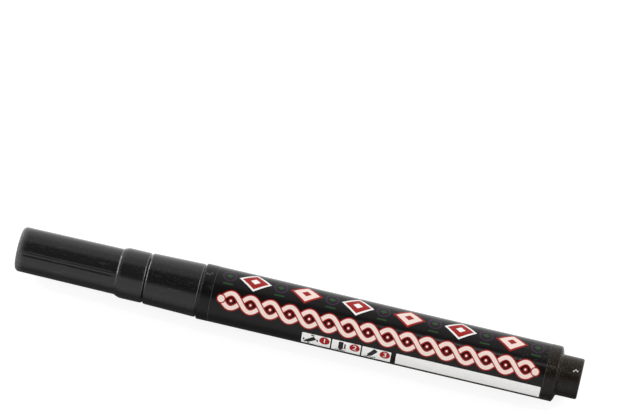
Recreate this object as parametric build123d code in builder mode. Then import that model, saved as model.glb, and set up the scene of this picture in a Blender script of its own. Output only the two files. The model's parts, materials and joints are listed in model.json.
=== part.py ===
from build123d import *
from math import cos, pi, sin, sqrt
import os

# Liquid chalk marker with a press-in nib, capped and held level, in millimetres.
# X runs along the marker from the cap's closed end to the tail, and Z is up.
# The origin is on the centre line, at the middle of the barrel, where a hand holds it.
# A station is a distance from the cap's closed end. Outlines are (station, radius) points.

# Outer form
CAP_LENGTH = 31.7
CAP_GAP = 0.25  # air between the cap's rim and the collar
COLLAR_LENGTH = 13.2
BARREL_LENGTH = 87.1
TAIL_LENGTH = 5.6
BARREL_DIAMETER = 13.5
COLLAR_SETBACK = 0.27  # from the barrel's surface down to the collar's rear edge
COLLAR_TAPER = 0.28  # radius that the collar loses towards the cap
CAP_SETBACK = 0.08  # from the collar's front edge down to the cap's skirt
CAP_STEP = 0.55  # from the cap's skirt down to its narrow part
CAP_DRAFT = 0.15  # radius that the narrow part loses towards the closed end
TAIL_STEP = 1.82  # from the barrel's surface down to the tail

# Cap and its inner seal
CAP_SKIRT_LENGTH = 5.8
CAP_SHOULDER_LENGTH = 1.1
CAP_CROWN = 0.35  # height of the domed end
CAP_WALL = 1.05
CAP_END_WALL = 1.3
CAP_EDGE_RADIUS = 0.7
CAP_STEP_RADIUS = 0.25
CAP_RIM_RADIUS = 0.25
SNAP_GROOVE_DEPTH = 0.12
SEAL_CLEARANCE = 0.02
SEAL_FLOOR = 0.9
SEAL_WALL = 0.8
SEAL_OVERLAP = 2.4  # length of the nose's land that the seal covers
SEAL_LIP_CHAMFER = 0.4

# Nib and the nose that guides it
NIB_DIAMETER = 3.0
NIB_TIP_LENGTH = 2.2
NIB_AIR = 5.2  # free space between the seal's floor and the nib
NIB_EXPOSED = 4.4
NIB_END_CHAMFER = 0.25
NIB_RUNNING_FIT = 0.08
NIB_PRESS_FIT = 0.02
NOSE_TIP_WALL = 0.7
NOSE_TIP_CHAMFER = 0.35
SNOUT_LENGTH = 2.4
LAND_LENGTH = 3.6
LAND_FIT = 0.08  # between the nose's land and the seal
FLUTE_COUNT = 4
FLUTE_RADIUS = 0.4

# Neck, collar and spigot
NECK_LENGTH = 5.4
NECK_FIT = 0.25  # between the neck and the cap's mouth
NECK_BEAD = 0.17
NECK_BEAD_WIDTH = 1.2
NECK_CHAMFER = 0.4
NECK_WALL = 1.3
COLLAR_FRONT_RADIUS = 0.3
COLLAR_REAR_RADIUS = 0.18
SHADOW_GAP = 0.28  # open groove between the collar and the barrel
SHADOW_DEPTH = 0.42
SPIGOT_LENGTH = 9.0
SPIGOT_FIT = 0.05
SPIGOT_WALL = 1.1
SPIGOT_BEAD = 0.2
SPIGOT_BEAD_WIDTH = 1.2
SPIGOT_BEAD_OFFSET = 5.0  # from the barrel's mouth to the bead
GROOVE_MARGIN = 0.3  # a groove is this much longer than its bead, at each end

# Barrel and label
BARREL_WALL = 1.1
BARREL_FRONT_RADIUS = 0.5
BARREL_REAR_RADIUS = 0.4
LABEL_FRONT_INSET = 2.9
LABEL_REAR_INSET = 2.8
LABEL_RECESS = 0.1
LABEL_THICKNESS = 0.07
LABEL_GLUE = 0.01
LABEL_END_GAP = 0.05
LABEL_SEAM = 0.4  # open slit where the film's two ends meet

# Valve
SOCKET_DEPTH = 11.0  # from the spigot's rear face to the valve body's seat
VALVE_FIT = 0.02
VALVE_WALL = 1.0
FLANGE_THICKNESS = 1.0
FLANGE_CLEARANCE = 0.25
CAGE_LENGTH = 5.85
WINDOW_COUNT = 4
WINDOW_WIDTH = 2.2
WINDOW_MARGIN = 0.5
NIB_ENTRY = 0.5  # depth of the nib's rear end in the valve body
CUP_DEPTH = 2.5
CUP_FLOOR = 1.3
CUP_WALL = 0.7
PRESS_TRAVEL = 2.0
TRAVEL_MARGIN = 0.3
SEAT_THICKNESS = 1.6
SEAT_HOLE_DIAMETER = 3.0
SEAT_BEVEL = 0.6
SEAT_GAP = 0.1
FLOW_GAP = 0.5  # between the stem and the seat's hole
HEAD_OVERLAP = 0.6  # of the head over the seat's hole
HEAD_RIM = 0.8
PLUNGER_PILOT_LENGTH = 2.2
RETAINER_THICKNESS = 1.6
RETAINER_LEDGE = 0.4
RETAINER_PILOT_LENGTH = 1.4
PORT_COUNT = 6
PORT_DIAMETER = 1.1
PORT_MARGIN = 0.4  # from a port to the retainer's edge
SPRING_WIRE = 0.5
WIRE_SIDES = 8
SPRING_INSET = 0.2  # of the coil from the edge of the head
SPRING_PITCH = 1.3
SPRING_CLEARANCE = 0.3  # between the coil and its pilots
SPRING_SEAT_GAP = 0.05

# Ball and tail plug
BALL_DIAMETER = 6.0
BALL_CLEARANCE = 0.05
BALL_END_GAP = 0.3
PLUG_LENGTH = 7.0  # of the part inside the barrel
PLUG_FIT = 0.15
PLUG_RIB = 0.13
PLUG_RIB_WIDTH = 0.8
PLUG_RIB_PITCH = 2.0
PLUG_LEAD = 0.6
PLUG_BORE_DIAMETER = 5.0
PLUG_END_WALL = 1.4
TAIL_FLANGE_RIM = 0.1
TAIL_SHOULDER_LENGTH = 0.55
TAIL_EDGE_RADIUS = 0.35

# Stations of the outer form
cap_step = CAP_LENGTH - CAP_SKIRT_LENGTH - CAP_SHOULDER_LENGTH
cap_skirt = CAP_LENGTH - CAP_SKIRT_LENGTH
collar_front = CAP_LENGTH + CAP_GAP
barrel_front = collar_front + COLLAR_LENGTH
collar_rear = barrel_front - SHADOW_GAP
barrel_rear = barrel_front + BARREL_LENGTH
barrel_middle = (barrel_front + barrel_rear) / 2
marker_length = barrel_rear + TAIL_LENGTH

# Radii of the outer form, each set down from the one before
barrel_radius = BARREL_DIAMETER / 2
collar_rear_radius = barrel_radius - COLLAR_SETBACK
collar_front_radius = collar_rear_radius - COLLAR_TAPER
cap_skirt_radius = collar_front_radius - CAP_SETBACK
cap_step_radius = cap_skirt_radius - CAP_STEP
cap_end_radius = cap_step_radius - CAP_DRAFT
tail_radius = barrel_radius - TAIL_STEP

# Inside the cap, with the same wall all along
cap_mouth_bore = cap_skirt_radius - CAP_WALL
cap_step_bore = cap_step_radius - CAP_WALL
cap_end_bore = cap_end_radius - CAP_WALL

# Nose: the nib's place in the cap sets it
seal_floor = CAP_END_WALL + SEAL_FLOOR
nib_tip = seal_floor + NIB_AIR
nose_tip = nib_tip + NIB_EXPOSED
land_front = nose_tip + SNOUT_LENGTH
land_rear = land_front + LAND_LENGTH
seal_mouth = land_front + SEAL_OVERLAP
seal_bore = cap_end_bore - SEAL_CLEARANCE - SEAL_WALL
land_radius = seal_bore - LAND_FIT
nib_radius = NIB_DIAMETER / 2
nib_bore = nib_radius + NIB_RUNNING_FIT
snout_radius = nib_bore + NOSE_TIP_WALL

# Neck and spigot
neck_front = collar_front - NECK_LENGTH
neck_radius = cap_mouth_bore - NECK_FIT
neck_bead_at = collar_front - NECK_LENGTH / 2
chamber_radius = neck_radius - NECK_WALL
chamber_front = neck_front + NECK_CHAMFER
barrel_bore = barrel_radius - BARREL_WALL
spigot_rear = barrel_front + SPIGOT_LENGTH
spigot_radius = barrel_bore - SPIGOT_FIT
spigot_bead_at = barrel_front + SPIGOT_BEAD_OFFSET
shadow_radius = collar_rear_radius - SHADOW_DEPTH
valve_socket = spigot_radius - SPIGOT_WALL

# Valve, from the nib's rear end backwards
valve_front = spigot_rear - SOCKET_DEPTH
valve_radius = valve_socket - VALVE_FIT
valve_bore = valve_radius - VALVE_WALL
flange_rear = spigot_rear + FLANGE_THICKNESS
flange_radius = barrel_bore - FLANGE_CLEARANCE
valve_rear = flange_rear + CAGE_LENGTH
nib_rear = valve_front + NIB_ENTRY
cup_front = nib_rear - CUP_DEPTH
cup_rear = nib_rear + CUP_FLOOR
cup_bore = nib_radius + NIB_PRESS_FIT
cup_radius = cup_bore + CUP_WALL
seat_front = cup_rear + PRESS_TRAVEL + TRAVEL_MARGIN
seat_rear = seat_front + SEAT_THICKNESS
seat_hole = SEAT_HOLE_DIAMETER / 2
stem_radius = seat_hole - FLOW_GAP
head_radius = seat_hole + HEAD_OVERLAP
head_front = seat_rear - SEAT_BEVEL - FLOW_GAP + SEAT_GAP
head_edge = head_front + head_radius - stem_radius
head_rear = head_edge + HEAD_RIM
retainer_front = valve_rear - RETAINER_THICKNESS
retainer_bore = valve_bore + RETAINER_LEDGE
retainer_radius = retainer_bore - VALVE_FIT
wire_radius = SPRING_WIRE / 2
spring_radius = head_radius - SPRING_INSET - wire_radius
pilot_radius = spring_radius - wire_radius - SPRING_CLEARANCE
spring_front = head_rear + SPRING_SEAT_GAP + wire_radius
spring_rear = retainer_front - SPRING_SEAT_GAP - wire_radius
port_radius = PORT_DIAMETER / 2
port_circle = retainer_radius - PORT_MARGIN - port_radius

# Label, plug and ball
label_front = barrel_front + LABEL_FRONT_INSET
label_rear = barrel_rear - LABEL_REAR_INSET
recess_radius = barrel_radius - LABEL_RECESS
label_inner = recess_radius + LABEL_GLUE
label_outer = label_inner + LABEL_THICKNESS
plug_front = barrel_rear - PLUG_LENGTH
plug_radius = barrel_bore - PLUG_FIT
plug_bore = PLUG_BORE_DIAMETER / 2
tail_flange_radius = barrel_radius - BARREL_REAR_RADIUS
ball_radius = BALL_DIAMETER / 2
ball_at = plug_front - BALL_END_GAP - ball_radius
ball_drop = barrel_bore - BALL_CLEARANCE - ball_radius

# The outlines' plane: its x is the station and its y is the radius, upwards
PROFILE = Plane(origin=(-barrel_middle, 0, 0), x_dir=(1, 0, 0), z_dir=(0, -1, 0))
CENTRE_LINE = Axis.X
SAME_STATION = 0.001


def x_at(station):
    """The X coordinate of a station."""
    return station - barrel_middle


def across(station):
    """The plane square to the marker at a station, facing the tail."""
    return Plane(origin=(x_at(station), 0, 0), x_dir=(0, 1, 0), z_dir=(1, 0, 0))


def outer_rim(piece, station):
    """The largest circular edge of a turned piece at a station."""
    circles = piece.edges().filter_by(GeomType.CIRCLE)
    low = x_at(station) - SAME_STATION
    high = x_at(station) + SAME_STATION
    return circles.filter_by_position(Axis.X, low, high).sort_by(SortBy.RADIUS)[-1]


def cap_bore_at(station):
    """The drafted radius inside the cap's narrow part."""
    share = (station - CAP_END_WALL) / (cap_step - CAP_END_WALL)
    return cap_end_bore + share * (cap_step_bore - cap_end_bore)


# Cap: domed end, drafted narrow part, conical shoulder and skirt with a snap groove inside
snap_groove_half = NECK_BEAD_WIDTH / 2 + GROOVE_MARGIN
with BuildPart() as cap_shell:
    with BuildSketch(PROFILE):
        with BuildLine():
            TangentArc((0, 0), (CAP_CROWN, cap_end_radius), tangent=(0, 1))
            Polyline(
                (CAP_CROWN, cap_end_radius),
                (cap_step, cap_step_radius),
                (cap_skirt, cap_skirt_radius),
                (CAP_LENGTH, cap_skirt_radius),
                (CAP_LENGTH, cap_mouth_bore),
                (neck_bead_at + snap_groove_half, cap_mouth_bore),
                (neck_bead_at, cap_mouth_bore + SNAP_GROOVE_DEPTH),
                (neck_bead_at - snap_groove_half, cap_mouth_bore),
                (cap_skirt, cap_mouth_bore),
                (cap_step, cap_step_bore),
                (CAP_END_WALL, cap_end_bore),
                (CAP_END_WALL, 0),
                (0, 0),
            )
        make_face()
    revolve(axis=CENTRE_LINE)
    fillet(outer_rim(cap_shell, CAP_CROWN), CAP_EDGE_RADIUS)
    fillet(outer_rim(cap_shell, cap_skirt), CAP_STEP_RADIUS)
    fillet(outer_rim(cap_shell, CAP_LENGTH), CAP_RIM_RADIUS)

# Seal: a soft cup pressed to the bottom of the cap, whose mouth closes on the nose
with BuildPart() as cap_seal:
    with BuildSketch(PROFILE):
        with BuildLine():
            Polyline(
                (CAP_END_WALL, 0),
                (CAP_END_WALL, cap_end_bore - SEAL_CLEARANCE),
                (seal_mouth, cap_bore_at(seal_mouth) - SEAL_CLEARANCE),
                (seal_mouth, seal_bore + SEAL_LIP_CHAMFER),
                (seal_mouth - SEAL_LIP_CHAMFER, seal_bore),
                (seal_floor, seal_bore),
                (seal_floor, 0),
                close=True,
            )
        make_face()
    revolve(axis=CENTRE_LINE)

# Front section: snout, sealing land, neck with its snap bead, collar, and spigot with its bead
with BuildPart() as front_section:
    with BuildSketch(PROFILE):
        with BuildLine():
            Polyline(
                (nose_tip, nib_bore),
                (nose_tip, snout_radius),
                (land_front, land_radius),
                (land_rear, land_radius),
                (neck_front, neck_radius - NECK_CHAMFER),
                (neck_front + NECK_CHAMFER, neck_radius),
                (neck_bead_at - NECK_BEAD_WIDTH / 2, neck_radius),
                (neck_bead_at, neck_radius + NECK_BEAD),
                (neck_bead_at + NECK_BEAD_WIDTH / 2, neck_radius),
                (collar_front, neck_radius),
                (collar_front, collar_front_radius),
                (collar_rear, collar_rear_radius),
                (collar_rear, shadow_radius),
                (barrel_front, shadow_radius),
                (barrel_front, spigot_radius),
                (spigot_bead_at - SPIGOT_BEAD_WIDTH / 2, spigot_radius),
                (spigot_bead_at, spigot_radius + SPIGOT_BEAD),
                (spigot_bead_at + SPIGOT_BEAD_WIDTH / 2, spigot_radius),
                (spigot_rear, spigot_radius),
                (spigot_rear, valve_socket),
                (valve_front, valve_socket),
                (valve_front, chamber_radius),
                (chamber_front, chamber_radius),
                (chamber_front, nib_bore),
                close=True,
            )
        make_face()
    revolve(axis=CENTRE_LINE)
    chamfer(outer_rim(front_section, nose_tip), NOSE_TIP_CHAMFER)
    fillet(outer_rim(front_section, collar_front), COLLAR_FRONT_RADIUS)
    fillet(outer_rim(front_section, collar_rear), COLLAR_REAR_RADIUS)
    # Ink and air pass the nib along flutes in its bore
    with BuildSketch(across(nose_tip)):
        with PolarLocations(nib_bore, FLUTE_COUNT):
            Circle(FLUTE_RADIUS)
    extrude(amount=chamber_front - nose_tip, mode=Mode.SUBTRACT)

# Nib: a felt rod with a bullet point
with BuildPart() as nib:
    with BuildSketch(PROFILE):
        with BuildLine():
            EllipticalCenterArc(
                (nib_tip + NIB_TIP_LENGTH, 0), NIB_TIP_LENGTH, nib_radius, 90, arc_size=90
            )
            Polyline(
                (nib_tip, 0),
                (nib_rear, 0),
                (nib_rear, nib_radius),
                (nib_tip + NIB_TIP_LENGTH, nib_radius),
            )
        make_face()
    revolve(axis=CENTRE_LINE)
    chamfer(outer_rim(nib, nib_rear), NIB_END_CHAMFER)

# Plunger: cup for the nib, stem through the seat, conical head and the spring's pilot
with BuildPart() as valve_plunger:
    with BuildSketch(PROFILE):
        with BuildLine():
            Polyline(
                (nib_rear, 0),
                (nib_rear, cup_bore),
                (cup_front, cup_bore),
                (cup_front, cup_radius),
                (cup_rear, cup_radius),
                (cup_rear, stem_radius),
                (head_front, stem_radius),
                (head_edge, head_radius),
                (head_rear, head_radius),
                (head_rear, pilot_radius),
                (head_rear + PLUNGER_PILOT_LENGTH, pilot_radius),
                (head_rear + PLUNGER_PILOT_LENGTH, 0),
                close=True,
            )
        make_face()
    revolve(axis=CENTRE_LINE)

# Valve body: a cage whose flange sits on the spigot, with a bevelled seat across it
window_front = flange_rear + WINDOW_MARGIN
window_length = retainer_front - WINDOW_MARGIN - window_front
with BuildPart() as valve_body:
    with BuildSketch(PROFILE):
        with BuildLine():
            Polyline(
                (valve_front, valve_bore),
                (valve_front, valve_radius),
                (spigot_rear, valve_radius),
                (spigot_rear, flange_radius),
                (flange_rear, flange_radius),
                (flange_rear, valve_radius),
                (valve_rear, valve_radius),
                (valve_rear, retainer_bore),
                (retainer_front, retainer_bore),
                (retainer_front, valve_bore),
                (seat_rear, valve_bore),
                (seat_rear, seat_hole + SEAT_BEVEL),
                (seat_rear - SEAT_BEVEL, seat_hole),
                (seat_front, seat_hole),
                (seat_front, valve_bore),
                close=True,
            )
        make_face()
    revolve(axis=CENTRE_LINE)
    # Ink enters the cage through windows behind the flange
    for window in range(WINDOW_COUNT):
        turn = 360 * window / WINDOW_COUNT
        with BuildSketch(PROFILE.rotated((turn, 0, 0))):
            with Locations((window_front + window_length / 2, 0)):
                Rectangle(window_length, WINDOW_WIDTH)
        extrude(amount=flange_radius, mode=Mode.SUBTRACT)

# Retainer: a perforated disc pressed into the cage, with a pilot for the spring
with BuildPart() as spring_retainer:
    with BuildSketch(PROFILE):
        with BuildLine():
            Polyline(
                (retainer_front - RETAINER_PILOT_LENGTH, 0),
                (retainer_front - RETAINER_PILOT_LENGTH, pilot_radius),
                (retainer_front, pilot_radius),
                (retainer_front, retainer_radius),
                (valve_rear, retainer_radius),
                (valve_rear, 0),
                close=True,
            )
        make_face()
    revolve(axis=CENTRE_LINE)
    with BuildSketch(across(retainer_front)):
        with PolarLocations(port_circle, PORT_COUNT):
            Circle(port_radius)
    extrude(amount=RETAINER_THICKNESS, mode=Mode.SUBTRACT)

# Spring: one wire wound in quarter turns, each made of two arcs that meet smoothly
quarter_turns = round(4 * (spring_rear - spring_front) / SPRING_PITCH)
quarter_rise = (spring_rear - spring_front) / quarter_turns
SAMPLES_PER_ARC = 4


def coil_point(quarter):
    """A point of the wire's centre line, counted in quarter turns."""
    angle = quarter * pi / 2
    along_marker = x_at(spring_front + quarter * quarter_rise)
    return Vector(along_marker, spring_radius * cos(angle), spring_radius * sin(angle))


def coil_direction(quarter):
    """The wire's direction at that point."""
    angle = quarter * pi / 2
    round_part = spring_radius * pi / 2
    return Vector(quarter_rise, -round_part * sin(angle), round_part * cos(angle)).normalized()


wire_samples = []
with BuildPart() as valve_spring:
    with BuildLine() as coil:
        for quarter in range(quarter_turns):
            start = coil_point(quarter)
            end = coil_point(quarter + 1)
            leaving = coil_direction(quarter)
            arriving = coil_direction(quarter + 1)
            chord = end - start
            along = chord.dot(leaving + arriving)
            bend = 2 * (1 - leaving.dot(arriving))
            reach = (sqrt(along**2 + bend * chord.dot(chord)) - along) / bend
            meeting = (start + end + (leaving - arriving) * reach) / 2
            meeting_direction = (end - arriving * reach) - (start + leaving * reach)
            first_arc = TangentArc(start, meeting, tangent=leaving)
            second_arc = TangentArc(meeting, end, tangent=meeting_direction)
            for arc in (first_arc, second_arc):
                wire_samples += [arc @ (step / SAMPLES_PER_ARC) for step in range(SAMPLES_PER_ARC)]
    with BuildSketch(Plane(origin=coil_point(0), z_dir=coil_direction(0))):
        RegularPolygon(wire_radius, WIRE_SIDES)
    sweep(path=coil.line)
# Points half a turn apart or more, which is four arcs, belong to other turns of the wire
half_turn = 4 * SAMPLES_PER_ARC
coil_distances = [
    (far - near).length
    for index, near in enumerate(wire_samples)
    for far in wire_samples[index + half_turn:]
]
print(f"valve_spring: {quarter_turns / 4} turns, least gap {min(coil_distances) - SPRING_WIRE:.2f} mm")

# Barrel: a tube rounded at both ends, with the label's recess and the spigot bead's groove
bead_groove_half = SPIGOT_BEAD_WIDTH / 2 + GROOVE_MARGIN
with BuildPart() as barrel:
    with BuildSketch(PROFILE):
        with BuildLine():
            Polyline(
                (barrel_front, barrel_bore),
                (barrel_front, barrel_radius),
                (label_front, barrel_radius),
                (label_front, recess_radius),
                (label_rear, recess_radius),
                (label_rear, barrel_radius),
                (barrel_rear, barrel_radius),
                (barrel_rear, barrel_bore),
                (spigot_bead_at + bead_groove_half, barrel_bore),
                (spigot_bead_at, barrel_bore + SPIGOT_BEAD),
                (spigot_bead_at - bead_groove_half, barrel_bore),
                close=True,
            )
        make_face()
    revolve(axis=CENTRE_LINE)
    fillet(outer_rim(barrel, barrel_front), BARREL_FRONT_RADIUS)
    fillet(outer_rim(barrel, barrel_rear), BARREL_REAR_RADIUS)

# Label: a film wrapped round the barrel, its two ends facing each other underneath
film_length = label_rear - label_front - 2 * LABEL_END_GAP
with BuildPart() as barrel_label:
    with BuildSketch(across(label_front + LABEL_END_GAP)):
        Circle(label_outer)
        Circle(label_inner, mode=Mode.SUBTRACT)
        with Locations((0, -label_outer)):
            Rectangle(LABEL_SEAM, label_outer, mode=Mode.SUBTRACT)
    extrude(amount=film_length)

# Mixing ball: lies on the bottom of the bore, against the tail
with BuildPart() as mixing_ball:
    with Locations((x_at(ball_at), 0, -ball_drop)):
        Sphere(ball_radius)

# Tail plug: ribbed body in the barrel, conical shoulder over the barrel's end, and the tail
front_rib = plug_front + PLUG_LENGTH / 2 - PLUG_RIB_PITCH / 2
rear_rib = front_rib + PLUG_RIB_PITCH
with BuildPart() as tail_plug:
    with BuildSketch(PROFILE):
        with BuildLine():
            Polyline(
                (plug_front, plug_bore),
                (plug_front, plug_radius - PLUG_LEAD),
                (plug_front + PLUG_LEAD, plug_radius),
                (front_rib - PLUG_RIB_WIDTH / 2, plug_radius),
                (front_rib, plug_radius + PLUG_RIB),
                (front_rib + PLUG_RIB_WIDTH / 2, plug_radius),
                (rear_rib - PLUG_RIB_WIDTH / 2, plug_radius),
                (rear_rib, plug_radius + PLUG_RIB),
                (rear_rib + PLUG_RIB_WIDTH / 2, plug_radius),
                (barrel_rear, plug_radius),
                (barrel_rear, tail_flange_radius),
                (barrel_rear + TAIL_FLANGE_RIM, tail_flange_radius),
                (barrel_rear + TAIL_SHOULDER_LENGTH, tail_radius),
                (marker_length, tail_radius),
                (marker_length, 0),
                (marker_length - PLUG_END_WALL, 0),
                (marker_length - PLUG_END_WALL, plug_bore),
                close=True,
            )
        make_face()
    revolve(axis=CENTRE_LINE)
    fillet(outer_rim(tail_plug, marker_length), TAIL_EDGE_RADIUS)

pieces = {
    "cap_shell": cap_shell,
    "cap_seal": cap_seal,
    "front_section": front_section,
    "nib": nib,
    "valve_plunger": valve_plunger,
    "valve_body": valve_body,
    "spring_retainer": spring_retainer,
    "valve_spring": valve_spring,
    "barrel": barrel,
    "barrel_label": barrel_label,
    "mixing_ball": mixing_ball,
    "tail_plug": tail_plug,
}
os.makedirs("parts", exist_ok=True)
for name, piece in pieces.items():
    piece.part.label = name
    export_step(piece.part, f"parts/{name}.step")
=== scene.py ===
# %% [markdown]
# A liquid chalk marker
#
# A chalk marker is almost all turned shapes: a cap, a collar, a barrel and a tail plug on one line.
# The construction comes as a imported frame, and this lesson dresses it: it turns the outer pieces
# again with fine round edges, prints the label, and gives each piece the finish of the real one.

# %% Load the frame
import json
import math

import bmesh
import bpy
from mathutils import Matrix, Vector


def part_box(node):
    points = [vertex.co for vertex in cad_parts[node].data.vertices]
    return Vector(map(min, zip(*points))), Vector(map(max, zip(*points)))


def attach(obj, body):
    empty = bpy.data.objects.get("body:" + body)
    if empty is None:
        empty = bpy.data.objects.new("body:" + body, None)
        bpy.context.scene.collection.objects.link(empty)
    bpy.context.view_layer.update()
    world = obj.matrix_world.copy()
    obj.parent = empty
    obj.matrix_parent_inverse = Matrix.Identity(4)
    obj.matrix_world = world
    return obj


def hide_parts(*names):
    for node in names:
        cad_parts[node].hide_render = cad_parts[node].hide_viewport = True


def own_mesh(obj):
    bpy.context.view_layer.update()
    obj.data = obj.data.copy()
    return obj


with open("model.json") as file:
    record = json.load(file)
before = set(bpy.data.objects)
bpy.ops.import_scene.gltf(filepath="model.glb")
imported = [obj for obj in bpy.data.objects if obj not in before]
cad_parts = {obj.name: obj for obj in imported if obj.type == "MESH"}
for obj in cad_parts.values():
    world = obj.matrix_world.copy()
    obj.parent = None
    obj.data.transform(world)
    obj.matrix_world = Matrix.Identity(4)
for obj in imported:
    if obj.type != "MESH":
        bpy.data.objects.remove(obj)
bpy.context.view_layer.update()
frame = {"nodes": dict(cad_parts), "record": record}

# %% [markdown]
# Drawings of turned pieces are read along the centre line, so every place in this lesson is a station:
# the distance in millimetres from the cap's closed end. The frame gives the main stations and radii,
# and Blender works in metres, so one function turns a station into an X coordinate.

# %% Stations and radii from the frame
MM = 0.001
CAP_END_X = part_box("cap_shell")[0].x


def x_at(station):
    """The X coordinate of a station in millimetres."""
    return CAP_END_X + station * MM


def extent(node):
    """A node's front station, rear station and greatest radius, in millimetres."""
    low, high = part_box(node)
    return (low.x - CAP_END_X) / MM, (high.x - CAP_END_X) / MM, high.y / MM


cap_end, cap_mouth, cap_radius = extent("cap_shell")
seal_front, seal_mouth, seal_radius = extent("cap_seal")
nose_tip, spigot_rear, _ = extent("front_section")
nib_tip, nib_rear, nib_radius = extent("nib")
barrel_front, barrel_rear, barrel_radius = extent("barrel")
film_front, film_rear, film_radius = extent("barrel_label")
plug_front, tail_end, plug_radius = extent("tail_plug")
print(f"marker {tail_end:.2f} mm long, barrel {2 * barrel_radius:.2f} mm thick")

# %% [markdown]
# A moulded plastic edge is never sharp. The outline of each turned piece is drawn as a wire of
# (station, radius, rounding) points, the bevel operator rounds the wire's corners, and one full spin
# about the centre line makes the solid. Rounding the wire first is cheaper and smoother than
# bevelling the finished solid, because each corner is a single vertex at that moment. Four
# roundings, from fine to broad, serve most corners, and the others are named with their piece.

# %% Turning a piece
FULL_TURN = 2 * math.pi
TURN_STEPS = 180
ROUND_SEGMENTS = 5
FINE = 0.1
SMALL = 0.15
SOFT = 0.2
BROAD = 0.3
SMOOTH_ANGLE = math.radians(32)
MERGE = 1e-7
SAME_PLACE = 0.01


def outline_wire(points, closed):
    """A wire in the plane of X and Z through (station, radius, rounding) points."""
    wire = bmesh.new()
    corners = [wire.verts.new((x_at(point[0]), 0, point[1] * MM)) for point in points]
    for first, second in zip(corners, corners[1:]):
        wire.edges.new((first, second))
    if closed:
        wire.edges.new((corners[-1], corners[0]))
    for corner, (_, _, rounding) in zip(corners, points):
        if rounding:
            bmesh.ops.bevel(wire, geom=[corner], offset=rounding * MM, offset_type="OFFSET",
                            segments=ROUND_SEGMENTS, profile=0.5, affect="VERTICES", material=-1)
    return wire


def rotate(shape, angle, axis):
    """Turns a shape about an axis of the frame."""
    bmesh.ops.rotate(shape, verts=shape.verts[:], cent=(0, 0, 0), matrix=Matrix.Rotation(angle, 3, axis))


def spun(wire, angle=FULL_TURN):
    """Spins a wire about the centre line into a surface with its faces pointing outwards."""
    full = angle == FULL_TURN
    bmesh.ops.spin(wire, geom=wire.verts[:] + wire.edges[:], cent=(0, 0, 0), axis=(1, 0, 0),
                   angle=angle, steps=TURN_STEPS, use_merge=full)
    bmesh.ops.remove_doubles(wire, verts=wire.verts[:], dist=MERGE)
    if not full:
        bmesh.ops.holes_fill(wire, edges=[edge for edge in wire.edges if edge.is_boundary], sides=0)
    bmesh.ops.recalc_face_normals(wire, faces=wire.faces[:])
    return wire


def turned(points, closed=False):
    """A turned solid, from an outline that is closed, or whose two ends lie on the centre line."""
    return spun(outline_wire(points, closed))


# %% [markdown]
# A bmesh is only a shape in memory. A piece of the marker is an object in the scene, which has to ride on
# its body and stand for the construction nodes that it replaces.
# Every piece goes through one function, so that none of this is forgotten.

# %% From a shape to a piece
def added(name, data):
    """A new object in the scene."""
    thing = bpy.data.objects.new(name, data)
    bpy.context.scene.collection.objects.link(thing)
    return thing


def mesh_from(name, shape):
    """A mesh with the faces of a bmesh, which is freed."""
    mesh = bpy.data.meshes.new(name)
    shape.to_mesh(mesh)
    shape.free()
    return mesh


def piece_from(name, shape, body, slot, *nodes):
    """Turns a bmesh into a smooth-shaded piece that rides on a body and stands for CAD nodes."""
    open_edges = sum(1 for edge in shape.edges if not edge.is_manifold)
    mesh = mesh_from(name, shape)
    mesh.shade_smooth()
    mesh.set_sharp_from_angle(angle=SMOOTH_ANGLE)
    piece = added(name, mesh)
    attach(piece, body)
    if nodes:
        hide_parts(*nodes)
    print(f"{name}: {len(mesh.polygons)} faces, {open_edges} open edges")
    return piece


# %% [markdown]
# The cap is a thin moulded cup. Its closed end is slightly domed, the narrow part has a little draft so
# that it leaves the mould, a short cone leads to the wider skirt, and a shallow groove inside the
# skirt snaps over the neck. The dome is an arc of a large circle, so a formula gives its points.
# Along the narrow part the plastic has drawn in a little as it cooled, over the seal inside, which
# leaves a shallow sink line. It is pressed in after the spin, by moving the vertices of two rings of
# the outline. The cone's short steep foot and the small bevel at the mouth catch the light as fine lines.

# %% Cap shell
CAP_CROWN = 0.35
CAP_STEP = 0.55
CAP_DRAFT = 0.15
CAP_WALL = 1.05
CAP_END_WALL = 1.3
CAP_SKIRT_LENGTH = 5.8
CAP_SHOULDER_LENGTH = 1.1
CAP_FOOT = (0.34, 0.175)
CAP_SHOULDER_RUN = 0.14
CAP_END_ROUND = 0.95
CAP_STEP_ROUND = 0.12
CAP_FOOT_ROUND = 0.04
CAP_SHOULDER_ROUND = 0.42
SNAP_GROOVE = (28.35, 29.25, 30.15)
SNAP_DEPTH = 0.12
DOME_POINTS = 6
EDGE_BEVEL = (0.4, 0.2)
SINK_FROM = 2.6
SINK_TO = 23.2
SINK_LEAN = math.radians(26)
SINK_HALF_WIDTH = math.radians(6)
SINK_DEPTH = 0.12

skirt_front = cap_mouth - CAP_SKIRT_LENGTH
step_front = skirt_front - CAP_SHOULDER_LENGTH
cap_bore = cap_radius - CAP_WALL
step_radius = cap_radius - CAP_STEP
end_radius = step_radius - CAP_DRAFT
dome_radius = (end_radius**2 + CAP_CROWN**2) / (2 * CAP_CROWN)


def dome_depth(radius):
    """How far the domed end lies behind its middle at a radius."""
    return dome_radius - math.sqrt(dome_radius**2 - radius**2)


def narrow_radius(station):
    """The drafted radius of the cap's narrow part."""
    return end_radius + CAP_DRAFT * (station - CAP_CROWN) / (step_front - CAP_CROWN)


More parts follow.
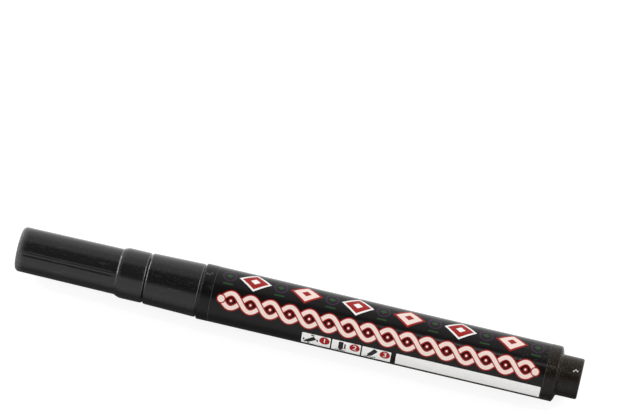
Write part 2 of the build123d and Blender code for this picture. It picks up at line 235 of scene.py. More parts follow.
dome_radii = [end_radius * i / DOME_POINTS for i in range(DOME_POINTS)]
cap_outline = [(dome_depth(radius), radius, 0) for radius in dome_radii] + [
    (CAP_CROWN, end_radius, CAP_END_ROUND),
    (SINK_FROM, narrow_radius(SINK_FROM), 0),
    (SINK_TO, narrow_radius(SINK_TO), 0),
    (step_front, step_radius, CAP_STEP_ROUND),
    (step_front + CAP_FOOT[0], step_radius + CAP_FOOT[1], CAP_FOOT_ROUND),
    (skirt_front + CAP_SHOULDER_RUN, cap_radius, CAP_SHOULDER_ROUND),
    (cap_mouth - EDGE_BEVEL[0], cap_radius, FINE),
    (cap_mouth, cap_radius - EDGE_BEVEL[1], FINE),
    (cap_mouth, cap_bore, SOFT),
    (SNAP_GROOVE[2], cap_bore, SMALL),
    (SNAP_GROOVE[1], cap_bore + SNAP_DEPTH, SMALL),
    (SNAP_GROOVE[0], cap_bore, SMALL),
    (skirt_front, cap_bore, SOFT),
    (step_front, step_radius - CAP_WALL, SOFT),
    (CAP_END_WALL, end_radius - CAP_WALL, SOFT),
    (CAP_END_WALL, 0, 0),
]
cap_shape = turned(cap_outline)
for vertex in cap_shape.verts:
    station = (vertex.co.x - CAP_END_X) / MM
    radius = math.hypot(vertex.co.y, vertex.co.z) / MM
    if radius > end_radius and min(abs(station - SINK_FROM), abs(station - SINK_TO)) < SAME_PLACE:
        lean = math.atan2(-vertex.co.y, vertex.co.z)
        share = max(0.0, 1 - abs(lean - SINK_LEAN) / SINK_HALF_WIDTH)
        eased = share**2 * (3 - 2 * share)
        vertex.co.yz = vertex.co.yz * (1 - SINK_DEPTH * eased / radius)
cap_shell = piece_from("cap_shell_moulded", cap_shape, "cap", "cap_black", "cap_shell")

# %% [markdown]
# The inner seal is a soft white cup at the bottom of the cap. Its lip is thinned towards the
# mouth, so that it gives a little as it slides onto the nose. A hollowed cylinder would be near it, but
# one turned outline gives the cup, the thin lip and the round at its floor together.

# %% Cap seal
SEAL_FIT = 0.02
SEAL_WALL = 0.8
SEAL_FLOOR = 0.9
SEAL_LIP = 0.4

seal_end_radius = end_radius - CAP_WALL - SEAL_FIT
seal_bore = seal_end_radius - SEAL_WALL
seal_outline = [
    (seal_front, 0, 0),
    (seal_front, seal_end_radius, SOFT),
    (seal_mouth, seal_radius, SMALL),
    (seal_mouth, seal_bore + SEAL_LIP, FINE),
    (seal_mouth - SEAL_LIP, seal_bore, SMALL),
    (seal_front + SEAL_FLOOR, seal_bore, BROAD),
    (seal_front + SEAL_FLOOR, 0, 0),
]
cap_seal = piece_from("cap_seal_soft", turned(seal_outline), "cap", "seal_white", "cap_seal")

# %% [markdown]
# The front section is one moulding: the snout that guides the nib, the land that the seal closes on,
# the neck with its snap bead, the tapered collar that shows behind the cap, and the spigot inside
# the barrel. Four flutes beside the nib let ink and air pass. They are pressed into the
# round bore after the spin, by moving the bore's own vertices out to the flute's circle, because
# a boolean cut would leave long thin faces there.

# %% Front section
NIB_FIT = 0.08
SNOUT_RADIUS = 2.28
SNOUT_ROUND = 0.4
LAND_RADIUS = 3.47
LAND = (14.2, 17.8)
NECK_FRONT = 26.55
NECK_RADIUS = 4.82
NECK_CHAMFER = 0.4
NECK_BEAD = (28.65, 29.25, 29.85)
NECK_BEAD_HEIGHT = 0.17
COLLAR_FRONT = 31.95
COLLAR_TAPER = 0.28
COLLAR_RADIUS = 6.48
REAR_BEVEL = (0.28, 0.14)
REAR_BEVEL_ROUND = 0.08
SHADOW_GAP = 0.28
SHADOW_DEPTH = 0.42
SPIGOT_RADIUS = 5.6
VALVE_SOCKET = 4.5
VALVE_FRONT = 43.15
CHAMBER_RADIUS = 3.52
CHAMBER_FRONT = 26.95
FLUTE_COUNT = 4
FLUTE_RADIUS = 0.4

nib_bore = nib_radius + NIB_FIT
collar_rear = barrel_front - SHADOW_GAP
collar_front_radius = COLLAR_RADIUS - COLLAR_TAPER
front_outline = [
    (nose_tip, nib_bore, 0),
    (nose_tip, SNOUT_RADIUS, SNOUT_ROUND),
    (LAND[0], LAND_RADIUS, BROAD),
    (LAND[1], LAND_RADIUS, BROAD),
    (NECK_FRONT, NECK_RADIUS - NECK_CHAMFER, SOFT),
    (NECK_FRONT + NECK_CHAMFER, NECK_RADIUS, SOFT),
    (NECK_BEAD[0], NECK_RADIUS, SMALL),
    (NECK_BEAD[1], NECK_RADIUS + NECK_BEAD_HEIGHT, BROAD),
    (NECK_BEAD[2], NECK_RADIUS, SMALL),
    (COLLAR_FRONT, NECK_RADIUS, FINE),
    (COLLAR_FRONT, collar_front_radius - EDGE_BEVEL[1], FINE),
    (COLLAR_FRONT + EDGE_BEVEL[0], collar_front_radius, FINE),
    (collar_rear - REAR_BEVEL[0], COLLAR_RADIUS, REAR_BEVEL_ROUND),
    (collar_rear, COLLAR_RADIUS - REAR_BEVEL[1], REAR_BEVEL_ROUND),
    (collar_rear, COLLAR_RADIUS - SHADOW_DEPTH, 0),
    (barrel_front, COLLAR_RADIUS - SHADOW_DEPTH, 0),
    (barrel_front, SPIGOT_RADIUS, 0),
    (spigot_rear, SPIGOT_RADIUS, SOFT),
    (spigot_rear, VALVE_SOCKET, 0),
    (VALVE_FRONT, VALVE_SOCKET, 0),
    (VALVE_FRONT, CHAMBER_RADIUS, 0),
    (CHAMBER_FRONT, CHAMBER_RADIUS, 0),
    (CHAMBER_FRONT, nib_bore, 0),
]
flute_step = FULL_TURN / FLUTE_COUNT
front_shape = turned(front_outline, closed=True)
for vertex in front_shape.verts:
    radius = math.hypot(vertex.co.y, vertex.co.z) / MM
    if abs(radius - nib_bore) > SAME_PLACE:
        continue
    angle = math.atan2(vertex.co.z, vertex.co.y)
    off_flute = nib_bore * math.sin(angle - flute_step * round(angle / flute_step))
    if abs(off_flute) < FLUTE_RADIUS:
        deeper = math.sqrt(nib_bore**2 - off_flute**2) + math.sqrt(FLUTE_RADIUS**2 - off_flute**2)
        vertex.co.yz = vertex.co.yz * (math.hypot(deeper, off_flute) / radius)
front_section = piece_from("front_section_moulded", front_shape, "barrel", "collar_black", "front_section")

# %% [markdown]
# The nib is a rod of pressed felt with a bullet point. The point is a quarter of an ellipse, drawn by
# its formula, and the rear edge is rounded so that it goes into the plunger's cup. Half a stretched sphere
# set on a cylinder would look alike, but it would leave a seam where they meet.

# %% Nib
NIB_POINT = 2.2
NIB_POINT_STEPS = 10
NIB_REAR_ROUND = 0.25

nib_outline = []
for i in range(NIB_POINT_STEPS + 1):
    turn = math.pi / 2 * i / NIB_POINT_STEPS
    nib_outline.append((nib_tip + NIB_POINT * (1 - math.cos(turn)), nib_radius * math.sin(turn), 0))
nib_outline += [
    (nib_rear, nib_radius, NIB_REAR_ROUND),
    (nib_rear, 0, 0),
]
nib = piece_from("nib_felt_rod", turned(nib_outline), "nib_unit", "nib_felt", "nib")

# %% [markdown]
# The barrel is a tube, rounded at both ends, with a shallow recess that the label lies in. Only the
# two plain ends show, but the tube is made whole, as a real one is. Its outline is closed, with the
# bore as its inner side, so one spin makes both walls.

# %% Barrel
BARREL_BORE = 5.65
BARREL_FRONT_ROUND = 0.36
BARREL_REAR_ROUND = 0.4
LABEL_INSET = 0.05
LABEL_RECESS = 0.1
RECESS_ROUND = 0.03

recess_front = film_front - LABEL_INSET
recess_rear = film_rear + LABEL_INSET
barrel_outline = [
    (barrel_front, BARREL_BORE, FINE),
    (barrel_front, barrel_radius, BARREL_FRONT_ROUND),
    (recess_front, barrel_radius, RECESS_ROUND),
    (recess_front, barrel_radius - LABEL_RECESS, 0),
    (recess_rear, barrel_radius - LABEL_RECESS, 0),
    (recess_rear, barrel_radius, RECESS_ROUND),
    (barrel_rear, barrel_radius, BARREL_REAR_ROUND),
    (barrel_rear, BARREL_BORE, FINE),
]
barrel = piece_from("barrel_tube", turned(barrel_outline, closed=True), "barrel", "barrel_black", "barrel")

# %% [markdown]
# The label is a thin film wrapped round the barrel, with its two ends facing each other underneath.
# A full ring would be simpler, but a wrapped label always has a seam: a spin of a little less than a
# full turn leaves it open, and its two ends are filled.

# %% Label film
SEAM = 0.4
FILM_THICKNESS = 0.07
FILM_ROUND = 0.02

film_outline = [
    (film_front, film_radius - FILM_THICKNESS, 0),
    (film_front, film_radius, FILM_ROUND),
    (film_rear, film_radius, FILM_ROUND),
    (film_rear, film_radius - FILM_THICKNESS, 0),
]
seam_angle = SEAM / film_radius
film_shape = outline_wire(film_outline, closed=True)
rotate(film_shape, math.pi + seam_angle / 2, "X")
label_film = piece_from("label_wrap", spun(film_shape, FULL_TURN - seam_angle),
                        "barrel", "label_film", "barrel_label")

# %% [markdown]
# The tail plug closes the barrel. A slightly conical shoulder lies over the barrel's end, and the
# narrow tail takes the cap while the marker is in use. Two ribs inside the barrel hold it. They are
# alike, so a loop adds their points to the outline.

# %% Tail plug
TAIL_RADIUS = 4.93
TAIL_SHOULDER = 0.55
TAIL_RIM = 0.1
TAIL_RIM_ROUND = 0.05
TAIL_ROUND = 0.48
PLUG_RADIUS = 5.5
PLUG_CHAMFER = 0.6
PLUG_RIB = 0.13
PLUG_RIBS = (127.75, 129.75)
PLUG_RIB_HALF = 0.4
PLUG_BORE = 2.5
PLUG_END_WALL = 1.4

plug_outline = [
    (tail_end - PLUG_END_WALL, 0, 0),
    (tail_end - PLUG_END_WALL, PLUG_BORE, BROAD),
    (plug_front, PLUG_BORE, SOFT),
    (plug_front, PLUG_RADIUS - PLUG_CHAMFER, FINE),
    (plug_front + PLUG_CHAMFER, PLUG_RADIUS, FINE),
]
for rib in PLUG_RIBS:
    plug_outline += [
        (rib - PLUG_RIB_HALF, PLUG_RADIUS, 0),
        (rib, PLUG_RADIUS + PLUG_RIB, FINE),
        (rib + PLUG_RIB_HALF, PLUG_RADIUS, 0),
    ]
plug_outline += [
    (barrel_rear, PLUG_RADIUS, 0),
    (barrel_rear, plug_radius, 0),
    (barrel_rear + TAIL_RIM, plug_radius, TAIL_RIM_ROUND),
    (barrel_rear + TAIL_SHOULDER, TAIL_RADIUS, SOFT),
    (tail_end, TAIL_RADIUS, TAIL_ROUND),
    (tail_end, 0, 0),
]
tail_plug = piece_from("tail_plug_moulded", turned(plug_outline), "barrel", "tail_black", "tail_plug")

# %% [markdown]
# The valve spring is one wire wound into a coil, with a closed turn at each end. The spin operator winds it:
# with a small step along the axis for every step of the turn, a circle becomes a helix, and the last circle
# of one spin starts the next. A bevelled curve could make it too, but the spin gives plain faces at once,
# and a count of steps that is easy to choose. When the nib is pressed, the plunger pushes the front end back
# by the length of that travel, and the share of the spring's length that is left then is worked out.

# %% Valve spring
WIRE = 0.5
WIRE_SIDES = 12
END_RISE = 0.56
SPRING_PITCH = 1.3
STEPS_PER_TURN = 40

spring_front, spring_rear, spring_outer = extent("valve_spring")
open_length = spring_rear - spring_front - WIRE - 2 * END_RISE
open_turns = round(open_length / SPRING_PITCH)
spring_shape = bmesh.new()
bmesh.ops.create_circle(spring_shape, radius=WIRE / 2 * MM, segments=WIRE_SIDES)
rotate(spring_shape, math.pi / 2, "X")
bmesh.ops.translate(spring_shape, verts=spring_shape.verts[:],
                    vec=(x_at(spring_front + WIRE / 2), 0, (spring_outer - WIRE / 2) * MM))
wire_end = spring_shape.verts[:] + spring_shape.edges[:]
for turns, rise in ((1, END_RISE), (open_turns, open_length), (1, END_RISE)):
    steps = turns * STEPS_PER_TURN
    wire_end = bmesh.ops.spin(spring_shape, geom=wire_end, cent=(0, 0, 0), axis=(1, 0, 0),
                              angle=FULL_TURN * turns, steps=steps,
                              dvec=(rise / steps * MM, 0, 0))["geom_last"]
wire_cuts = [edge for edge in spring_shape.edges if edge.is_boundary]
bmesh.ops.holes_fill(spring_shape, edges=wire_cuts, sides=0)
bmesh.ops.recalc_face_normals(spring_shape, faces=spring_shape.faces[:])
valve_spring = piece_from("valve_spring_coil", spring_shape, "barrel", "spring_steel", "valve_spring")
joints = {joint["name"]: joint for joint in frame["record"]["behaviour"]["joints"]}
press_travel = joints["nib_press"]["range_m"][1] / MM
pressed_share = 1 - press_travel / (spring_rear - spring_front)
x_at(spring_rear)
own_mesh(valve_spring)
print(f"spring: {open_turns + 2} turns, {pressed_share:.2f} of its length when the nib is pressed")

# %% [markdown]
# A finish is a small program of shader nodes. Wrapping a socket in a class lets Python's own operators
# add the maths nodes, so that a mask reads like a formula, and one method makes every other node.

# %% Sockets
ALONG, BACKWARDS, UPWARDS = range(3)


class Value:
    """An output socket that Python's operators can work on."""

    def __init__(self, tree, socket):
        self.tree = tree
        self.socket = socket

    def maths(self, operation, *terms):
        """The result of a Math node."""
        return self.tree.node("ShaderNodeMath", {"operation": operation}, dict(enumerate(terms)))

    def __add__(self, other):
        return self.maths("ADD", self, other)

    def __sub__(self, other):
        return self.maths("SUBTRACT", self, other)

    def __rsub__(self, other):
        return self.maths("SUBTRACT", other, self)

    def __mul__(self, other):
        return self.maths("MULTIPLY", self, other)

    def __abs__(self):
        return self.maths("ABSOLUTE", self)

    __radd__ = __add__
    __rmul__ = __mul__

    def between(self, low, high):
        """A value that goes from low to high as this one goes from 0 to 1."""
        return low + self * (high - low)


# %% [markdown]
# Every finish here starts from the place on the marker, in object coordinates, so that no piece has to be
# unwrapped. The tree knows the few patterns that the finishes share: a cloudy noise, spots where the noise
# is high, a smooth rise, a blend of two colours, and nearness to a station.

# %% Trees of nodes
class Tree:
    """A node tree, with one method that makes any node."""

    def __init__(self, node_tree):
        self.links = node_tree.links
        self.nodes = node_tree.nodes

    def node(self, kind, settings, inputs, output=0):
        """Adds a node: its settings first, then the values or links of its sockets."""
        made = self.nodes.new(kind)
        for key, setting in settings.items():
            setattr(made, key, setting)
        for key, value in inputs.items():
            self.feed(made.inputs[key], value)
        return Value(self, made.outputs[output])

    def feed(self, socket, value):
        """Links a value to a socket, or sets a constant on it."""
        if isinstance(value, Value):
            self.links.new(value.socket, socket)
        else:
            socket.default_value = value

    def place(self):
        """Object coordinates, in metres."""
        return self.node("ShaderNodeTexCoord", {}, {}, output="Object")

    def part(self, axis, vector=None):
        """A vector's part along an axis, or the place's where no vector is given."""
        return self.node("ShaderNodeSeparateXYZ", {}, {0: vector or self.place()}, output=axis)

    def noise(self, size_mm, detail=2.0, stretch=(1, 1, 1), start=(0, 0, 0)):
        """Cloudy noise, from 0 to 1, whose blots are about this many millimetres across."""
        moves = {"Vector": self.place(), "Location": start, "Scale": stretch}
        moved_place = self.node("ShaderNodeMapping", {}, moves)
        blots = {"Vector": moved_place, "Scale": 1 / (size_mm * MM), "Detail": detail}
        return self.node("ShaderNodeTexNoise", {}, blots)

    def rise(self, value, low, high):
        """0 below low, 1 above high, and smooth between."""
        settings = {"interpolation_type": "SMOOTHSTEP"}
        return self.node("ShaderNodeMapRange", settings, {"Value": value, "From Min": low, "From Max": high})

    def spots(self, low, high, **pattern):
        """Spots where a noise of this pattern rises from low to high."""
        return self.rise(self.noise(**pattern), low, high)

    def blend(self, first, second, share):
        """A mix of two colours, whose sockets on the Mix node are 6 and 7, and whose result is output 2."""
        settings = {"data_type": "RGBA", "clamp_factor": True}
        return self.node("ShaderNodeMix", settings, {0: share, 6: first, 7: second}, output=2)

    def near_station(self, station, width):
        """1 at a station, falling to 0 this many millimetres away along the marker."""
        return 1 - self.rise(abs(self.part(ALONG) - x_at(station)), 0.0, width * MM)


# %% [markdown]
# All finishes end in Blender's own Principled shader, which suits plastic, felt and steel alike and which
# exporters understand. What is the same over the whole piece is set once, and colour, roughness and a fine
# bump change over the surface.

# %% Finishes
GRAIN_ROUGHNESS = 0.12
PLASTIC_IOR = 1.5


def rgb(red, green, blue):
    """A colour with full alpha."""
    return (red, green, blue, 1.0)


class Finish(Tree):
    """A new material's tree, with constants set on the sockets of its shader."""

    def __init__(self, name, constants):
        self.material = bpy.data.materials.new(name)
        self.material.use_nodes = True
        super().__init__(self.material.node_tree)
        self.show(constants)

    def show(self, values):
        """Feeds the shader's sockets."""
        for socket, value in values.items():
            self.feed(self.nodes["Principled BSDF"].inputs[socket], value)

    def cover(self, colour, roughness, height, depth_mm):
        """Feeds what changes over the surface, with a bump of this depth where the height is 1."""
        normal = self.node("ShaderNodeBump", {}, {"Height": height, "Distance": depth_mm * MM})
        self.show({"Base Color": colour, "Roughness": roughness, "Normal": normal})
        return self.material


def plastic(shine):
    """What is the same all over a plastic."""
    return {"Specular IOR Level": shine, "IOR": PLASTIC_IOR}


def mottled(name, constants, tones, cloud, cloud_share, grain, grain_share, rough, dent):
    """A finish in which shares of a cloud and a grain mix two tones, and the grain dents the surface."""
    tree = Finish(name, constants)
    cloudy = tree.noise(**cloud)
    grainy = tree.noise(**grain)
    colour = tree.blend(*tones, cloudy * cloud_share + grainy * grain_share)
    return tree.cover(colour, rough + grainy * GRAIN_ROUGHNESS, grainy, dent)


def wear(piece, material):
    """Gives a piece its finish."""
    piece.data.materials.clear()
    piece.data.materials.append(material)
    print(f"{piece.name} wears {material.name}")


# %% [markdown]
# Dust and chalk lie where they can settle: on the upper side, along an edge and on a rim. The pale lines
# along the edges, strongest on the upper, back side where the light falls, and the lighter rim of an end are
# also a painted highlight. Each of these is a mask, worked out from the place on the marker, so that every
# black finish can share them.

# %% Where dust, chalk and painted highlights lie
CHALK_HIGHLIGHT_LEAN = math.radians(-40)
CHALK_HIGHLIGHT_REACH = (math.radians(40), math.radians(105))
DUST_LEAN = (math.radians(-10), math.radians(40))
RIM_INNER = 1.2
RIM_OUTER = 0.3


def lean_of(tree):
    """How far a point lies round the marker from its top, towards the front, in radians."""
    upwards = tree.part(UPWARDS)
    return upwards.maths("ARCTAN2", 0 - tree.part(BACKWARDS), upwards)


def rim_haze(tree, station, reach, radius):
    """1 on the rounded rim of an end, falling to 0 along the marker and towards the end's middle."""
    backwards = tree.part(BACKWARDS)
    upwards = tree.part(UPWARDS)
    squared = backwards * backwards + upwards * upwards
    outwards = squared.maths("SQRT", squared)
    outer = tree.rise(outwards, (radius - RIM_INNER) * MM, (radius - RIM_OUTER) * MM)
    return tree.near_station(station, reach) * outer


def flecks(tree):
    """Small flecks of dust."""
    return tree.spots(low=0.58, high=0.7, size_mm=0.36, detail=1.5, start=(5.2, 0, 0))


def dusty_side(tree):
    """1 on the side that dust has settled on, and 0 towards the front."""
    return 1 - tree.rise(lean_of(tree), *DUST_LEAN)


def chalk_lines(tree, edges):
    """Chalk dust and a painted highlight along edges at (station, width) places, strongest where the edges
    face up and back, towards the light.
    """
    lines = sum(tree.near_station(station, width) for station, width in edges)
    return lines * (1 - tree.rise(abs(lean_of(tree) - CHALK_HIGHLIGHT_LEAN), *CHALK_HIGHLIGHT_REACH))


# %% [markdown]
# The cap and the collar are satin black plastic. Under a soft light it shows broad, slightly blurred
# reflections, a fine moulding grain, handling scuffs, and small flecks of dust, most of them on the upper
# side. Chalk has caught along the edges and on the rounded rim of the closed end, and these pale marks also
# paint the light lines along the edges and a soft highlight on the rim. The cap is a little hazier than the
# collar, and a fine second line runs beside its sink line. One colour with one roughness would look like a
# drawing of plastic, so several noises of different sizes vary both.

# %% Satin black
SATIN_TONES = ((0.0045, 0.0045, 0.0046), (0.0075, 0.0074, 0.0075))
SCUFFED = rgb(0.06, 0.06, 0.061)
CHALK_AND_HIGHLIGHT = rgb(0.3, 0.3, 0.3)
FINE_LINE_LEAN = math.radians(19.5)
FINE_LINE_HALF_WIDTH = math.radians(3.6)
FINE_LINE_DEPTH = 0.035
GRAIN_DEPTH = 0.002
STREAK_DEPTH = 0.004
SCUFF_SHARE = 0.35
DUST_SHARE = 0.5
FLECKS_BY_SIDE = (0.08, 0.28)
RIM_MARKS_AND_HIGHLIGHT = (0.12, 0.22)
EDGE_CHALK_HIGHLIGHT_BY_RUB = (0.3, 0.6)
RIM_CHALK_HIGHLIGHT_BY_RUB = (0.75, 1.15)
UNEVEN_ROUGHNESS = 0.05
MARK_ROUGHNESS = 0.15
RIM_ROUGHNESS = 0.2


def fine_line_depth(tree):
    """The depth, in millimetres, of the fine line along the cap's narrow part."""
    across = 1 - tree.rise(abs(lean_of(tree) - FINE_LINE_LEAN), 0.0, FINE_LINE_HALF_WIDTH)
    along = tree.part(ALONG)
    begun = tree.rise(along, x_at(CAP_CROWN), x_at(SINK_FROM))
    ended = tree.rise(along, x_at(SINK_TO), x_at(step_front))
    return across * begun * (1 - ended) * FINE_LINE_DEPTH


def satin_black(name, rough, haze, edges, rim, rim_chalk_and_highlight, fine_line):
    """Satin black, in which haze lifts the black. Chalk dust and a painted highlight lie along the edges and
    on one rim.
    """
    tree = Finish(name, plastic(shine=0.3))
    cloud = tree.noise(size_mm=5.0, detail=3.0)
    grain = tree.noise(size_mm=0.18)
    streak = tree.noise(size_mm=0.9, stretch=(0.08, 1, 1))
    scuff = tree.spots(low=0.62, high=0.74, size_mm=0.5, detail=3.0, stretch=(0.12, 1, 1), start=(3.1, 0, 0))
    dust = tree.spots(low=0.69, high=0.77, size_mm=0.4, detail=1.0, start=(0, 7.3, 0))
    rub = tree.spots(low=0.4, high=0.7, size_mm=0.6, detail=3.0)
    # The rounded rim of the end is lighter: chalk dust and a painted soft highlight.
    dull = rim_haze(tree, *rim)
    fleck = flecks(tree) * dusty_side(tree).between(*FLECKS_BY_SIDE)
    marks = scuff * SCUFF_SHARE + dust * DUST_SHARE + fleck + dull * rub.between(*RIM_MARKS_AND_HIGHLIGHT)
    # Pale lines along the edges: chalk dust and a painted highlight, strongest on the upper, back side.
    edge_chalk_and_highlight = chalk_lines(tree, edges) * rub.between(*EDGE_CHALK_HIGHLIGHT_BY_RUB)
    chalk_and_highlight = edge_chalk_and_highlight + dull * dull * rub.between(*RIM_CHALK_HIGHLIGHT_BY_RUB) * rim_chalk_and_highlight
    dark, light = (rgb(*(channel + haze for channel in tone)) for tone in SATIN_TONES)
    plain = tree.blend(tree.blend(dark, light, cloud), SCUFFED, marks)
    roughness = rough + (cloud + streak) * UNEVEN_ROUGHNESS + marks * MARK_ROUGHNESS + dull * RIM_ROUGHNESS
    height = grain * GRAIN_DEPTH + streak * STREAK_DEPTH
    if fine_line:
        height = height - fine_line_depth(tree)
    return tree.cover(tree.blend(plain, CHALK_AND_HIGHLIGHT, chalk_and_highlight), roughness, height, depth_mm=1.0)


# %% [markdown]
# Chalk and a painted highlight lie at the places where the light lines are: the foot of the cone, the mouth
# and the collar's two bevels. The stations come from the outlines, so these pale lines stay on their edges
# if a size changes.

# %% Cap and collar in satin black
EDGE_CHALK_HIGHLIGHT = 0.22
REAR_EDGE_CHALK_HIGHLIGHT = 0.18
CAP_RIM_REACH = 3.0
SNOUT_RIM_REACH = 1.0

cap_edges = [(step_front + CAP_FOOT[0] / 2, EDGE_CHALK_HIGHLIGHT), (cap_mouth - EDGE_BEVEL[0] / 2, EDGE_CHALK_HIGHLIGHT)]
collar_edges = [(COLLAR_FRONT + EDGE_BEVEL[0] / 2, EDGE_CHALK_HIGHLIGHT),
                (collar_rear - REAR_BEVEL[0] / 2, REAR_EDGE_CHALK_HIGHLIGHT)]
cap_rim = (cap_end, CAP_RIM_REACH, end_radius)
snout_rim = (nose_tip, SNOUT_RIM_REACH, SNOUT_RADIUS)
wear(cap_shell, satin_black("satin_black_cap", rough=0.12, haze=0.003, edges=cap_edges,
                            rim=cap_rim, rim_chalk_and_highlight=0.5, fine_line=True))
wear(front_section, satin_black("satin_black_collar", rough=0.15, haze=0.0, edges=collar_edges,
                                rim=snout_rim, rim_chalk_and_highlight=0.1, fine_line=False))

# %% [markdown]
# The barrel's bare ends and the plug are a duller black with a fine speckle in the surface. Towards the
# tail a warm haze and grey flecks of dust have settled, most of it on the upper side. Noise alone would
# spread the dust evenly, so masks of place hold it to the tail and to that side.

# %% Matt black
MATT_TONES = (rgb(0.0018, 0.0018, 0.0018), rgb(0.0042, 0.004, 0.004))
DUST_AND_HIGHLIGHT = rgb(0.17, 0.158, 0.14)
TAIL_HAZE = rgb(0.018, 0.0098, 0.003)
DUST_MIDDLE = 136.0
DUST_REACH = 26.0
SPECKLE_SHARE = 0.7
SPECKLE_DEPTH = 0.008
FLECKS_ANYWHERE = 0.05
TAIL_FLECKS_BY_SIDE = (0.06, 0.31)
EDGE_DUST_HIGHLIGHT_BY_RUB = (0.05, 0.35)
HAZE_BY_SPECKLE = (0.4, 1.0)
HAZE_BY_SIDE = (0.3, 1.0)
SPECKLE_ROUGHNESS = 0.14
DUST_ROUGHNESS = 0.1
CHIP_AND_GLINT_ROUGHNESS = 0.2


def chips(tree, places, across, radius):
    """Small spots at (station, lean) places, of this size in millimetres, on a surface of this radius."""
    spots = []
    for station, lean in places:
        beside = abs(lean_of(tree) - math.radians(lean))
        spots.append(tree.near_station(station, across) * (1 - tree.rise(beside, 0.0, across / radius)))
    return sum(spots)


def matt_black(name, rough, edges, chip_and_glint_places, pale):
    """Matt black, dusty towards the tail. Chalk dust and a painted highlight lie along its edges, and pale
    spots show chipping on the barrel and a painted glint on the plug.
    """
    tree = Finish(name, plastic(shine=0.16))
    cloud = tree.noise(size_mm=4.0, detail=3.0)
    speckle = tree.noise(size_mm=0.3)
    rub = tree.spots(low=0.42, high=0.7, size_mm=0.6, detail=3.0)
    tail = tree.near_station(DUST_MIDDLE, DUST_REACH)
    dusty = dusty_side(tree)
    fleck = flecks(tree) * (FLECKS_ANYWHERE + tail * dusty.between(*TAIL_FLECKS_BY_SIDE))
    # Dust flecks, and pale lines along the edges that are chalk dust and a painted highlight.
    marks = fleck + chalk_lines(tree, edges) * rub.between(*EDGE_DUST_HIGHLIGHT_BY_RUB)
    haze = tail * speckle.between(*HAZE_BY_SPECKLE) * dusty.between(*HAZE_BY_SIDE)
    chip_and_glint = chips(tree, *chip_and_glint_places)
    plain = tree.blend(*MATT_TONES, speckle * SPECKLE_SHARE + cloud * (1 - SPECKLE_SHARE))
    dusted_and_highlighted = tree.blend(tree.blend(plain, TAIL_HAZE, haze), DUST_AND_HIGHLIGHT, marks)
    roughness = rough + speckle * SPECKLE_ROUGHNESS + marks * DUST_ROUGHNESS + chip_and_glint * CHIP_AND_GLINT_ROUGHNESS
    return tree.cover(tree.blend(dusted_and_highlighted, pale, chip_and_glint), roughness, speckle, SPECKLE_DEPTH)


# %% [markdown]
# The barrel's front edge, where the marker knocks against other things, carries a few small chips, and near
# the end of the plug a few near-white spots are a painted glint. Each is a soft round spot at a station and
# a lean, in degrees, because single marks are easier to place one by one than to get from a noise.

# %% Barrel and plug in matt black
BARREL_CHIPS = ((0.8, -26.7), (1.4, -26.2), (1.95, -30.0))
BARREL_CHIP = 0.4
PLUG_GLINTS = ((2.0, -5.0), (1.59, -9.2), (1.15, -6.6))
PLUG_GLINT = 0.3
BARREL_EDGE_CHALK_HIGHLIGHT = 0.4
FRONT_EDGE_IN = 0.25
REAR_EDGE_IN = 0.15
SHOULDER_CHALK_HIGHLIGHT = 0.35
TAIL_CHALK_HIGHLIGHT = 0.25

barrel_chips = [(barrel_front + behind, lean) for behind, lean in BARREL_CHIPS]
plug_glints = [(tail_end - before, lean) for before, lean in PLUG_GLINTS]
barrel_edges = [(barrel_front + FRONT_EDGE_IN, BARREL_EDGE_CHALK_HIGHLIGHT),
                (barrel_rear - REAR_EDGE_IN, BARREL_EDGE_CHALK_HIGHLIGHT)]
plug_edges = [(barrel_rear + SHOULDER_CHALK_HIGHLIGHT, SHOULDER_CHALK_HIGHLIGHT), (tail_end - TAIL_CHALK_HIGHLIGHT, TAIL_CHALK_HIGHLIGHT)]
wear(barrel, matt_black("matt_black_barrel", rough=0.22, edges=barrel_edges,
                        chip_and_glint_places=(barrel_chips, BARREL_CHIP, barrel_radius), pale=rgb(0.1, 0.1, 0.1)))
# Near the plug's end the near-white spots are a painted glint.
wear(tail_plug, matt_black("matt_black_plug", rough=0.26, edges=plug_edges,
                           chip_and_glint_places=(plug_glints, PLUG_GLINT, TAIL_RADIUS), pale=rgb(0.85, 0.84, 0.82)))

# %% [markdown]
# The label film is printed black and has a satin varnish. It is smoother than the plastic, with a faint
# unevenness where it is wrapped and a few flecks of dust near the tail, and its two cut edges show as
# fine pale lines. The masks of the black plastics serve here again.

# %% Label film finish
FILM_TONES = (rgb(0.0045, 0.0036, 0.0036), rgb(0.0075, 0.006, 0.006))
CUT_EDGE = rgb(0.12, 0.11, 0.11)
CUT_WIDTH = 0.1
FILM_DUST = 0.3
FILM_ROUGHNESS = (0.16, 0.2)
FILM_GRAIN_ROUGHNESS = 0.05
RIPPLE_SHARE = 0.7
RIPPLE_DEPTH = 0.005


def printed_film():
    """Black printed film with a satin varnish."""
    tree = Finish("printed_film", plastic(shine=0.15))
    cloud = tree.noise(size_mm=9.0, detail=3.0)
    ripple = tree.noise(size_mm=1.6, stretch=(0.15, 1, 1))
    grain = tree.noise(size_mm=0.25)
    cut = tree.near_station(film_front, CUT_WIDTH) + tree.near_station(film_rear, CUT_WIDTH)
    fleck = flecks(tree) * tree.near_station(DUST_MIDDLE, DUST_REACH) * dusty_side(tree)
    dusty = tree.blend(tree.blend(*FILM_TONES, cloud), DUST_AND_HIGHLIGHT, fleck * FILM_DUST)
    roughness = cloud.between(*FILM_ROUGHNESS) + grain * FILM_GRAIN_ROUGHNESS
    height = ripple * RIPPLE_SHARE + grain * (1 - RIPPLE_SHARE)
    return tree.cover(tree.blend(dusty, CUT_EDGE, cut), roughness, height, RIPPLE_DEPTH)


wear(label_film, printed_film())

# %% [markdown]
# Hidden pieces have finishes too, because the cap comes off and the marker can be taken apart. Felt is
# rough and fibrous, the seal is a soft milky plastic, and the valve is moulded in natural white. Each is
# two tones mixed by a cloud and a grain, so the same function makes them all.

